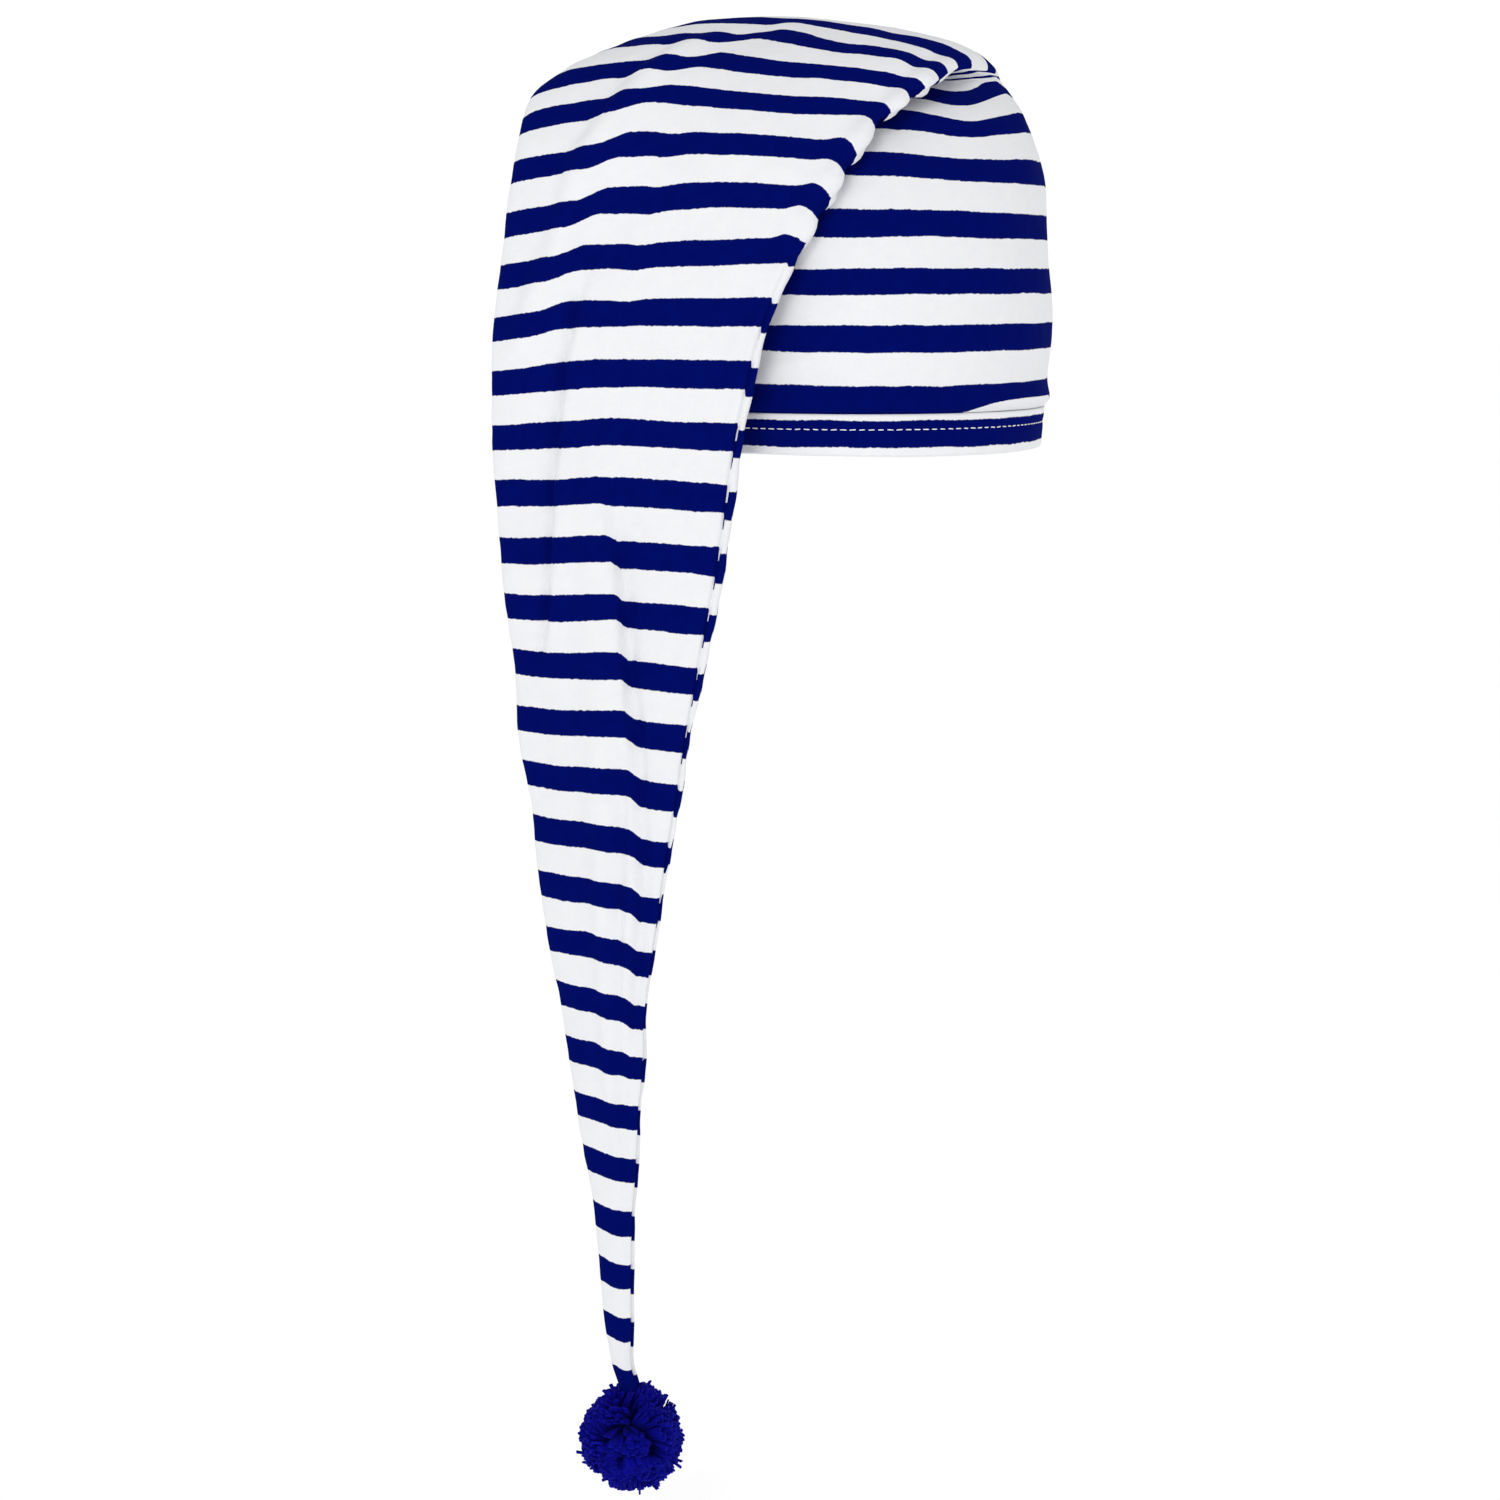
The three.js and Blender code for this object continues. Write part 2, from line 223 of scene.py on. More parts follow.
# Sharper folds of the tail's front layer.
# A line holds places along the cloth, in crown heights, and across it, from -1 at the left edge to 1
# at the right. A profile holds the ridges and grooves beside a line: height, place to its right and
# half width, in millimetres. A span holds where something rises and where it falls again along the
# cloth, in crown heights.
PLEAT_LINE = (
    (2.95, -0.08), (3.04, -0.05), (3.22, 0.07), (3.52, 0.22), (3.85, 0.46), (4.08, 0.64), (4.4, 0.64),
    (4.75, 0.6),
)
PLEAT_FADE = 0.35
PLEAT_HEIGHT = 4.2 * MM
PLEAT_EDGE = 0.8 * MM
PLEAT_LENGTH = 13 * MM
PLEAT_PROFILE = ((-2.0, 3.5, 3),)

CREASE_LINE = ((2.4, -0.34), (2.66, -0.41), (3.09, -0.49), (3.37, -0.55), (3.53, -0.7), (3.62, -0.88))
CREASE_PROFILE = ((-2.4, 0, 1.6), (2.4, 5.5, 4.5), (1.1, -6, 4))
CREST_LINE = ((1.66, -0.13), (1.91, -0.29), (2.16, -0.49), (2.4, -0.58), (2.58, -0.73), (2.78, -0.82))
CREST_PROFILE = ((2.2, 0, 7), (-1.4, -12, 6))
CREASE_FADE = 0.25

# The edge of the fold is rolled, and the white stripes bulge over it
ROLL_SPAN = ((1.4, 1.7), (2.7, 3.1))
ROLL_PROFILE = ((-1.5, 13, 4.5), (0.8, 6, 4))
BULGE_SPAN = ((1.7, 1.9), (2.35, 2.5))
BULGE_HEIGHT = 1.8 * MM
BULGE_WIDTH = 8 * MM

# Soft folds that run out over the crown from under the tail, and grow lower as they go.
# A fold goes from one place to another; a place is across the front, then along the cloth in crown heights.
CROWN_FOLDS = (
    # start, end, height in millimetres, half width in millimetres
    ((-0.35, 0.2), (0.3, 0.29), 2.0, 6.0),
    ((-0.35, 0.42), (0.2, 0.47), -1.1, 6.0),
    ((0.35, 0.93), (0.85, 0.86), 1.4, 5.0),
    ((0.3, 1.03), (0.75, 0.98), -1.6, 5.0),
    ((0.72, 0.16), (1.0, 0.3), 1.3, 5.0),
)
CROWN_FOLD_LOSS = 0.8
CROWN_FOLDS_STOP = 1.25

# Fine unevenness of the cloth, which fades out at the hem and towards the tip
RIPPLES = (
    # height on the crown, height on the tail and wavelength, in millimetres, then the seed
    (0.45, 0.8, 46, 3),
    (0.12, 0.22, 15, 4),
)
RIPPLES_TO_TAIL = (1.3, 1.8)
CALM_AT_HEM = 12 * MM
CALM_AT_TIP = 120 * MM

# How far the stripes have slipped along the cloth as it hangs, in millimetres, at five places across it
DRAPE_ACROSS = (-0.9, -0.45, 0.0, 0.45, 0.9)
DRAPE = (
    # along the cloth in crown heights, then the slip at each place
    (0.1, (0.5, 0.5, 0.5, 1, 0.5)),
    (0.2, (-0.6, -0.6, -0.6, 0, -0.6)),
    (0.45, (1, 1, 1.5, 1, 1)),
    (0.75, (2, 2, 2, 3, 4)),
    (0.95, (0, 2, 2, 3, 3)),
    (1.3, (3, 2, 0, 2, 13)),
    (1.5, (2, -3, -9, -6, 3)),
    (1.75, (-2, -15, -17.5, -27, -16)),
    (1.92, (-6, -10, -12.5, -17, -9)),
    (2.03, (-2, -3.5, -5, -9, -4)),
    (2.17, (-3.5, -4, -2.5, -3.5, -4.5)),
    (2.31, (-1, -0.5, -0.5, 0.3, -1.5)),
    (2.44, (4, 5, 3.5, 2.5, 2.5)),
    (2.6, (5.5, 7, 6, 4.5, 2.5)),
    (2.9, (5.8, 7, 9, 7.7, 6.5)),
    (3.22, (7.5, 8.4, 10.5, 10.7, 9)),
    (3.6, (10, 9.4, 10.7, 10.5, 9)),
    (4.0, (12.8, 12, 12.3, 10.3, 9)),
    (4.4, (15.5, 15, 14.5, 11.5, 10.5)),
    (4.9, (18, 17, 15.5, 14.5, 14)),
    (5.5, (19, 19, 18, 17, 17)),
)

# At the right end of the crown's front, a wedge of white shows between the hem and the first blue stripe.
# A front range says where a slip sets in, from -1 at the middle of the section's back to 1 at its front.
CROWN_FRONT = (0.05, 0.25)
HEM_SLIP = 9 * MM
HEM_SLIP_ACROSS = (0.66, 0.97)
HEM_SLIP_ALONG = (19 * MM, 33 * MM)
HEM_SLIP_FRONT = (-0.35, -0.05)

# Where the crown is tucked in under the fold, its stripes bend, and are drawn in most at the right edge
TUCK_BENDS = (
    # slip in millimetres, place along in crown heights and its half width, place across and its half width
    (10, 0.97, 0.15, 0.68, 0.2),
    (-6, 1.07, 0.1, 1.0, 0.14),
)
TUCK_SPAN = ((1.04, 1.22), (1.4, 1.65))
TUCK_ACROSS = (0.2, 0.5)
TUCK_SLIP = 4 * MM
TUCK_EDGE_SLIP = 19 * MM
TUCK_EDGE = (0.65, 0.92)

# On the tail, the stripes step down over the pleat and up to the right of the slip line
PLEAT_SLIP = 4.2 * MM
PLEAT_SLIP_ACROSS = (-1.6 * MM, 2.4 * MM)
SLIP_LINE = (
    (1.5, 0.12), (1.76, -0.01), (1.92, -0.11), (2.03, -0.29), (2.17, -0.36), (2.31, -0.4), (2.44, -0.48),
    (2.6, -0.54), (2.85, -0.6),
)
SLIP_SPAN = ((1.5, 1.72), (2.3, 2.85))
SLIP = 6 * MM
SLIP_AT_PEAK = 11 * MM
SLIP_PEAK = 1.75
SLIP_PEAK_LENGTH = 0.12
SLIP_ACROSS = (-9 * MM, 5 * MM)

# They rise a little before the tail's right edge and turn down over it, and dip a little in its middle
EDGE_SLIP_SPAN = ((1.75, 1.95), (2.35, 2.5))
EDGE_SLIP_PROFILE = ((2.5, 12, 4.5), (-3.8, 0, 4.5))
DIP = 1.2 * MM
DIP_SPAN = ((2.0, 2.15), (2.45, 2.7))
DIP_ACROSS = -0.03
DIP_WIDTH = 0.08

# Pompom: its strands, the tufts that they stand in, and the few strands that are longer and loose.
# A strand swells from its root to its end, and is paler or darker with its tuft and by itself.
POMPOM_STRANDS = 2400
POMPOM_TUFTS = 70
STRAY_STRANDS = 34
STRAND_WIDTH = 2.4 * MM
STRAND_FLATNESS = 0.5
STRAND_SIDES = 6
STRAND_SWELLING = (0.8, 0.9, 1.0, 1.05, 1.1, 1.05)
STRAND_VARIETY = (0.75, 1.2)
TUFT_SHADE = 0.35
STRAND_SHADE = 0.65
STRAND_SHADE_POWER = 1.5

# How far its strands start and reach from its middle, and how uneven they are, as shares of its radius.
# Those at the top reach farther, from one upward direction to the other.
STRAND_ROOT = 0.35
STRAND_REACH = 0.985
TUFT_UNEVENNESS = 0.02
STRAND_UNEVENNESS = 0.022
TOP_EXTRA = 0.07
TOP_UPWARD = (0.75, 0.95)
STRAY_EXTRA = (0.03, 0.16)
REACH_LIMITS = (0.8, 1.16)
# Painted shade on the yarn: darkest nearer the middle than the first reach, gone past the second
ROOT_SHADE_REACH = (0.6, 0.98)

# How the strands scatter, lean over to the side with their tuft and gather towards its middle
STRAND_SCATTER = 0.05
TUFT_SCATTER = 0.08
TUFT_LEAN = 1.3
STRAND_LEAN = 0.25
TUFT_BEND = (0.12, 0.42)
STRAND_BEND = (0.8, 1.2)
GATHERED = 0.03

# Seeds of the random draws
HEM_WAVE_SEED = 8
HEM_LIFT_SEED = 9
STITCH_SEED = 5
POMPOM_SEED = 11

# Colours in pairs, from darker to lighter. The yarn's pairs go from a strand's root to its end: painted
# shade, darker deep inside the pompom.
BLUE_DYE = ((0.0001, 0.0024, 0.1), (0.0003, 0.0046, 0.132))
WHITE_COTTON = ((0.80, 0.806, 0.83), (0.86, 0.865, 0.885))
WHITE_THREAD = ((0.86, 0.86, 0.88), (0.94, 0.94, 0.94))
DARK_YARN_AND_ROOT_SHADE = ((0.0003, 0.0002, 0.05), (0.0007, 0.0006, 0.17))
LIGHT_YARN_AND_ROOT_SHADE = ((0.0005, 0.0004, 0.1), (0.0022, 0.002, 0.3))
FLOOR_GREY = ((0.34, 0.34, 0.34), (0.36, 0.36, 0.36))

# Single colours: the yarn's sheen and the white of the light
YARN_SHEEN = (0.05, 0.06, 1.0, 1)
LIGHT_WHITE = (1, 1, 1, 1)

# Studio, in metres, degrees and watts. The camera is in front of the cap and tipped a little down.
# The sky's strength goes from the first value to the second between two heights over the horizon.
CAMERA_PLACE = (-51.75 * MM, -1380 * MM, 77.2 * MM)
CAMERA_TIP = 9.2
SENSOR_WIDTH = 36
LENS = 69.5
FLOOR_SIZE = 60
FLOOR_DROP = 30 * MM
FLOOR_GLOW = 0.74
SKY_HEIGHTS = (0.12, 0.45)
SKY_STRENGTHS = (1.03, 0.6)
LAMP_TARGET = (-0.04, -0.02, 0.02)
LAMPS = (
    # name, place, size, power
    ("key", (-0.9, -2.1, 1.1), 1.2, 13.5),
    ("fill", (1.2, -1.9, 0.5), 1.4, 3.5),
    ("rim", (1.5, 0.6, 1.2), 0.8, 2),
)


def mix(start, end, share):
    return start + (end - start) * share


def smoothstep(low, high, value):
    share = np.clip((value - low) / (high - low), 0, 1)
    return share * share * (3 - 2 * share)


def window(span, value):
    """0, then 1 past the span's rise, then 0 again past its fall."""
    rise, fall = span
    return smoothstep(*rise, value) * (1 - smoothstep(*fall, value))


def bell(distance, width):
    return np.exp(-((distance / width) ** 2))


def profile_height(profile, distance):
    """The ridges and grooves of a profile at a distance from its line."""
    return sum(height * MM * bell(distance - place * MM, width * MM) for height, place, width in profile)


def corner(value, power):
    return np.sign(value) * np.abs(value) ** power


def unit(vectors):
    return vectors / np.linalg.norm(vectors, axis=-1, keepdims=True)


def full_turn(sides):
    return np.arange(sides) / sides * 2 * np.pi


def even_steps(start, stop, step):
    return np.linspace(start, stop, math.ceil((stop - start) / step) + 1)


def ripple(points, wavelength, seed, waves=26):
    """Smooth unevenness in space, about -1 to 1."""
    rng = np.random.default_rng(seed)
    total = np.zeros(points.shape[:-1])
    for _ in range(waves):
        direction = unit(rng.normal(size=3))
        number = 2 * np.pi / wavelength * rng.uniform(0.6, 1.5)
        total += np.cos(points @ (direction * number) + rng.uniform(0, 2 * np.pi))
    return total / math.sqrt(waves)


def smooth_rows(table, along):
    """Every column of a table at any distances, on smooth curves through its rows."""
    x, y = table[:, 0], table[:, 1:]
    run = np.diff(x)[:, None]
    slope = np.diff(y, axis=0) / run
    tangent = np.empty_like(y)
    tangent[0], tangent[-1] = slope[0], slope[-1]
    tangent[1:-1] = (slope[:-1] * run[1:] + slope[1:] * run[:-1]) / (run[:-1] + run[1:])
    k = np.clip(np.searchsorted(x, along, side="right") - 1, 0, len(x) - 2)
    h = run[k]
    t = ((along - x[k])[:, None]) / h
    return (
        (1 + 2 * t) * (1 - t) ** 2 * y[k]
        + t * (1 - t) ** 2 * h * tangent[k]
        + t * t * (3 - 2 * t) * y[k + 1]
        + t * t * (t - 1) * h * tangent[k + 1]
    )


# Sections as lengths, from the hem along the crown, over the fold and down the tail


def crown_rows():
    rows = []
    roundness = HEAD_HALF_DEPTH - TAIL_HALF_THICKNESS
    for values in CROWN_SECTIONS:
        row = dict(zip(CROWN_COLUMNS, values))
        rows.append((
            row["along"] * CROWN_HEIGHT,
            row["right"] * HEAD_HALF_WIDTH,
            row["right_back"] * HEAD_HALF_DEPTH,
            row["right_up"] * CROWN_HEIGHT,
            -mix(HEAD_HALF_WIDTH, TAIL_REACH, row["reach"]),
            row["left_back"] * HEAD_HALF_DEPTH,
            row["left_up"] * CROWN_HEIGHT,
            TAIL_HALF_THICKNESS + row["outer"] * roundness,
            TAIL_HALF_THICKNESS + row["inner"] * roundness,
            math.radians(row["tilt"]),
            row["bow"] * HEAD_HALF_DEPTH,
        ))
    return rows


def tail_rows(along_at_hem):
    rows = []
    for values in TAIL_SECTIONS:
        row = dict(zip(TAIL_COLUMNS, values))
        half = mix(TIP_WIDTH, TAIL_WIDTH, row["width"]) / 2
        middle = -TAIL_REACH + row["middle"] * TAIL_WIDTH
        thick = mix(TIP_HALF_THICKNESS, TAIL_HALF_THICKNESS, row["fullness"])
        height = -row["drop"] * TAIL_DROP
        rows.append((
            along_at_hem - height,
            middle + half,
            row["right_back"] * HEAD_HALF_DEPTH,
            height,
            middle - half,
            row["left_back"] * HEAD_HALF_DEPTH,
            height,
            thick,
            thick,
            math.pi,
            0,
        ))
    return rows


def section_table():
    crown = crown_rows()
    along, _, _, right_up, _, _, left_up = crown[-1][:7]
    return np.array(crown + tail_rows(along + (right_up + left_up) / 2))


SECTIONS = section_table()
CAP_LENGTH = SECTIONS[-1, 0]


class Cloth:
    """A grid of points on the cap: rows at distances from the hem, columns round the cloth.

    place is how far along each row is, in crown heights. u and v are the places round the section: u goes
    from -1 at the left end to 1 at the right one, and v is positive on the crown's back and the tail's front.
    """

    def __init__(self, along, turn, inset):
        self.along = np.asarray(along, float)
        self.place = self.along[:, None] / CROWN_HEIGHT
        values = smooth_rows(SECTIONS, self.along)
        right, left = values[:, 0:3], values[:, 3:6]
        outer, inner, tilt, bow = (values[:, i][:, None] for i in (6, 7, 8, 9))
        self.half = np.linalg.norm(right - left, axis=1, keepdims=True) / 2
        across = unit(right - left)
        back = unit(np.stack([-across[:, 1], across[:, 0], np.zeros(len(across))], axis=1))
        up = np.cross(across, back)
        outwards = back * np.cos(tilt) + up * np.sin(tilt)

        flatness = 1 - np.minimum(outer / self.half, 1)
        power = 2 / mix(CROWN_ROUND_POWER, TAIL_ROUND_POWER, flatness)
        self.u = corner(np.cos(turn)[None, :], power)
        self.v = corner(np.sin(turn)[None, :], power)
        self.front = np.maximum(self.v, 0)

        grow = self.puff() - inset
        from_tip = (CAP_LENGTH - self.along)[:, None]
        drawn_in = 1 - TIP_DRAWN_IN * (1 - smoothstep(*TIP_DRAWN_FADE, from_tip))
        width = (self.half + grow) * self.u * drawn_in
        depth = np.where(self.v > 0, outer, inner)
        height = (depth + grow) * self.v + bow * (1 - self.u**2) + self.soft_folds() * self.front
        centre = ((right + left) / 2)[:, None, :]
        centre[:, :, 0] += TIP_TURN * (1 - smoothstep(0, TIP_TURN_LENGTH, from_tip))
        self.points = centre + width[..., None] * across[:, None] + height[..., None] * outwards[:, None]

    def puff(self):
        past = (self.along - HEM_HEIGHT)[:, None]
        rise = 1 - np.exp(-np.maximum(past, 0) / PUFF_TURN) * PUFF_START
        return np.where(past > 0, PUFF * rise * bell(past - PUFF_RISE / 2, PUFF_RISE), 0)

    def soft_folds(self):
        height = np.zeros(self.u.shape)
        for start, stop, here, there, proud, spread in SOFT_FOLDS:
            share = (self.place - start) / (stop - start)
            hump = np.sin(np.pi * np.clip(share, 0, 1)) * bell(self.u - mix(here, there, share), spread)
            height += np.where((share > 0) & (share < 1), proud * hump, 0)
        return height * TAIL_HALF_THICKNESS

    def normals(self):
        down = np.gradient(self.points, axis=0)
        around = np.roll(self.points, -1, axis=1) - np.roll(self.points, 1, axis=1)
        normal = np.cross(around, down)
        return normal / np.maximum(np.linalg.norm(normal, axis=2, keepdims=True), 1e-12)

    def arc(self):
        """Distance round the cloth from the right end, for each column and once more at the close."""
        closed = np.concatenate([self.points, self.points[:, :1]], axis=1)
        steps = np.linalg.norm(np.diff(closed, axis=1), axis=2)
        return np.concatenate([np.zeros((len(steps), 1)), np.cumsum(steps, axis=1)], axis=1)

    def beside(self, line):
        """How far each point is to the right of a fold's line."""
        points = np.array(line)
        return (self.u - np.interp(self.place, points[:, 0], points[:, 1])) * self.half

    def run_of(self, line, fade):
        """1 along a fold's line, fading to 0 at both ends."""
        start, stop = line[0][0], line[-1][0]
        return window(((start, start + fade), (stop - fade, stop)), self.place)

    def flat_area(self):
        """The cloth's area before it was sewn into a tube."""
        widths = self.arc()[:, -1]
        return float(np.sum((widths[1:] + widths[:-1]) / 2 * np.diff(self.along)))


def edge_distance(arc):
    """Distance round the cloth from its right end, on the nearer side."""
    return np.minimum(arc[:, :-1], arc[:, -1:] - arc[:, :-1])


def seam_inset(cloth):
    """The seam runs nearer the edge as the tail narrows."""
    return SEAM_INSET * mix(1, SEAM_TIP_SHARE, smoothstep(*SEAM_NARROWS, cloth.place))


# Relief of the cloth's outside


def fold_relief(cloth, arc, stripes):
    """Pleat, creases, rolled edge, seam, bulges and the crown's folds, as heights along the normal."""
    pleat = cloth.beside(PLEAT_LINE)
    step = PLEAT_HEIGHT / (1 + np.exp(pleat / PLEAT_EDGE)) * np.exp(np.minimum(pleat, 0) / PLEAT_LENGTH)
    height = cloth.run_of(PLEAT_LINE, PLEAT_FADE) * (step + profile_height(PLEAT_PROFILE, pleat))
    for line, profile in ((CREASE_LINE, CREASE_PROFILE), (CREST_LINE, CREST_PROFILE)):
        height += cloth.run_of(line, CREASE_FADE) * profile_height(profile, cloth.beside(line))
    height *= np.sqrt(cloth.front)

    from_edge = arc[:, :-1]
    height += window(ROLL_SPAN, cloth.place) * profile_height(ROLL_PROFILE, from_edge)
    seam = smoothstep(*SEAM_STARTS, cloth.place)
    height -= SEAM_DEPTH * seam * bell(from_edge - seam_inset(cloth), SEAM_WIDTH)

    bulges = -np.cos((stripes - FIRST_CROWN_BLUE) * 2 * np.pi / STRIPE_PITCH)
    bulges *= window(BULGE_SPAN, cloth.place) * bell(edge_distance(arc), BULGE_WIDTH)
    height += BULGE_HEIGHT * bulges
    return height + crown_folds(cloth)


def crown_folds(cloth):
    height = np.zeros(cloth.u.shape)
    across = cloth.u * HEAD_HALF_WIDTH
    along = cloth.along[:, None]
    for start, end, proud, width in CROWN_FOLDS:
        a = np.array([start[0] * HEAD_HALF_WIDTH, start[1] * CROWN_HEIGHT])
        b = np.array([end[0] * HEAD_HALF_WIDTH, end[1] * CROWN_HEIGHT])
        run = b - a
        share = ((across - a[0]) * run[0] + (along - a[1]) * run[1]) / (run @ run)
        near = np.clip(share, 0, 1)
        distance = np.hypot(across - a[0] - near * run[0], along - a[1] - near * run[1])
        height += proud * MM * bell(distance, width * MM) * (1 - CROWN_FOLD_LOSS * near)
    return height * (cloth.v < 0) * (cloth.place < CROWN_FOLDS_STOP)


def ripples(cloth):
    """Fine unevenness, stronger on the tail than on the crown."""
    tail = smoothstep(*RIPPLES_TO_TAIL, cloth.place)
    along = cloth.along[:, None]
    start = cloth.along[0]
    calm = window(((start, start + CALM_AT_HEM), (CAP_LENGTH - CALM_AT_TIP, CAP_LENGTH)), along)
    height = np.zeros(cloth.u.shape)
    for on_crown, on_tail, wavelength, seed in RIPPLES:
        height += mix(on_crown, on_tail, tail) * MM * ripple(cloth.points, wavelength * MM, seed)
    return height * calm


# Slip of the stripes


def stripe_place(cloth, arc):
    """Where each point lies among the stripes: its distance along the cloth, with the slip of its folds."""
    place = cloth.along[:, None] + drape(cloth) + crown_slip(cloth) + tail_slip(cloth, arc)
    return np.minimum(place, LAST_BLUE)


def drape(cloth):
    """The table of slips at each row along the cloth, and at each column's place across it."""
    table = np.array([(at * CROWN_HEIGHT, *slips) for at, slips in DRAPE])
    columns = np.array(DRAPE_ACROSS)
    rows = [
        smooth_rows(np.stack([columns, slips], axis=1), across)[:, 0]
        for slips, across in zip(smooth_rows(table, cloth.along), cloth.u)
    ]
    return np.array(rows) * MM


def crown_slip(cloth):
    """Slip on the crown's front, at the hem's right end and where it is tucked in under the fold."""
    lifted = smoothstep(*HEM_SLIP_ACROSS, cloth.u) * (1 - smoothstep(*HEM_SLIP_ALONG, cloth.along[:, None]))
    slip = -HEM_SLIP * lifted * smoothstep(*HEM_SLIP_FRONT, -cloth.v)
    front = smoothstep(*CROWN_FRONT, -cloth.v)
    for bend, along, length, across, width in TUCK_BENDS:
        slip += bend * MM * bell(cloth.place - along, length) * bell(cloth.u - across, width) * front
    tucked = window(TUCK_SPAN, cloth.place) * smoothstep(*TUCK_ACROSS, cloth.u) * front
    return slip - mix(TUCK_SLIP, TUCK_EDGE_SLIP, smoothstep(*TUCK_EDGE, cloth.u)) * tucked


def tail_slip(cloth, arc):
    """Slip on the tail, at its pleat and slip line, at its right edge and behind the seam."""
    pleated = cloth.run_of(PLEAT_LINE, PLEAT_FADE) * smoothstep(*PLEAT_SLIP_ACROSS, cloth.beside(PLEAT_LINE))
    peak = bell(cloth.place - SLIP_PEAK, SLIP_PEAK_LENGTH)
    slipped = window(SLIP_SPAN, cloth.place) * smoothstep(*SLIP_ACROSS, cloth.beside(SLIP_LINE))
    dipped = window(DIP_SPAN, cloth.place) * bell(cloth.u - DIP_ACROSS, DIP_WIDTH)
    slip = (mix(SLIP, SLIP_AT_PEAK, peak) * slipped - PLEAT_SLIP * pleated - DIP * dipped) * (cloth.v > 0)

    slip += window(EDGE_SLIP_SPAN, cloth.place) * profile_height(EDGE_SLIP_PROFILE, edge_distance(arc))
    from_seam = arc[:, :-1] - seam_inset(cloth)
    behind = np.maximum(1 - smoothstep(-SEAM_SHARPNESS, SEAM_SHARPNESS, from_seam), cloth.v < 0)
    return slip - BACK_DRIFT * smoothstep(*SEAM_STARTS, cloth.place) * behind


# Meshes


def mesh_of_rings(name, rings, uvs, close_ends):
    """A mesh from rings of points. uvs has one more column than the rings, for the closing face."""
    count, sides = rings.shape[:2]
    row, side = np.meshgrid(np.arange(count - 1), np.arange(sides), indexing="ij")
    beside = (side + 1) % sides
    here, below = row * sides, (row + 1) * sides
    quads = np.stack([here + side, here + beside, below + beside, below + side], axis=-1).reshape(-1, 4)
    corners = np.stack(
        [uvs[row, side], uvs[row, side + 1], uvs[row + 1, side + 1], uvs[row + 1, side]], axis=-2
    ).reshape(-1, 2)
    faces = quads.tolist()
    last = (count - 1) * sides
    if close_ends:
        faces.append(list(range(sides))[::-1])
        faces.append(list(range(last, last + sides)))
        corners = np.concatenate([corners, uvs[0, :sides][::-1], uvs[-1, :sides]])
    else:
        for k in range(sides):
            after = (k + 1) % sides
            faces.append([last + k, last + after, after, k])
        closing = np.stack([uvs[-1, :-1], uvs[-1, 1:], uvs[0, 1:], uvs[0, :-1]], axis=1).reshape(-1, 2)
        corners = np.concatenate([corners, closing])
    mesh = bpy.data.meshes.new(name)
    mesh.from_pydata(rings.reshape(-1, 3).tolist(), [], faces)
    layer = mesh.uv_layers.new(name="cloth")
    layer.data.foreach_set("uv", corners.astype(np.float32).ravel())
    mesh.shade_smooth()
    mesh.validate()
    return mesh


def tube_mesh(name, paths, sides, radii, flatness, attributes=()):
    """One mesh of many short closed tubes. paths is tubes x points x 3, radii is tubes x points."""
    paths = np.asarray(paths)
    count, length = paths.shape[:2]
    tangent = unit(np.gradient(paths, axis=1))
    steep = np.abs(tangent[..., 2:3]) >= STEEP
    side = unit(np.cross(tangent, np.where(steep, (1.0, 0, 0), (0, 0, 1.0))))
    other = np.cross(tangent, side)
    angle = full_turn(sides)[None, None, :, None]
    ring = side[:, :, None, :] * np.cos(angle) + other[:, :, None, :] * np.sin(angle) * flatness
    vertices = paths[:, :, None, :] + ring * np.asarray(radii)[:, :, None, None]

    base = np.arange(count)[:, None, None] * length * sides
    here = base + np.arange(length - 1)[None, :, None] * sides
    below = here + sides
    k = np.arange(sides)[None, None, :]
    after = (k + 1) % sides
    quads = np.stack([here + k, here + after, below + after, below + k], axis=-1).reshape(-1, 4)
    first = base[:, 0] + np.arange(sides)[::-1]
    last = base[:, 0] + (length - 1) * sides + np.arange(sides)
    mesh = bpy.data.meshes.new(name)
    mesh.from_pydata(vertices.reshape(-1, 3).tolist(), [], quads.tolist() + first.tolist() + last.tolist())
    for label, values in attributes:
        layer = mesh.attributes.new(label, "FLOAT", "POINT")
        layer.data.foreach_set("value", np.repeat(values.ravel(), sides).astype(np.float32))
    mesh.shade_smooth()
    return mesh


def add_piece(mesh, material, node=None):
    piece = bpy.data.objects.new(mesh.name, mesh)
    bpy.context.scene.collection.objects.link(piece)
    mesh.materials.append(material)
    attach(piece, "root")
    if node:
        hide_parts(node)
    return piece


# Materials


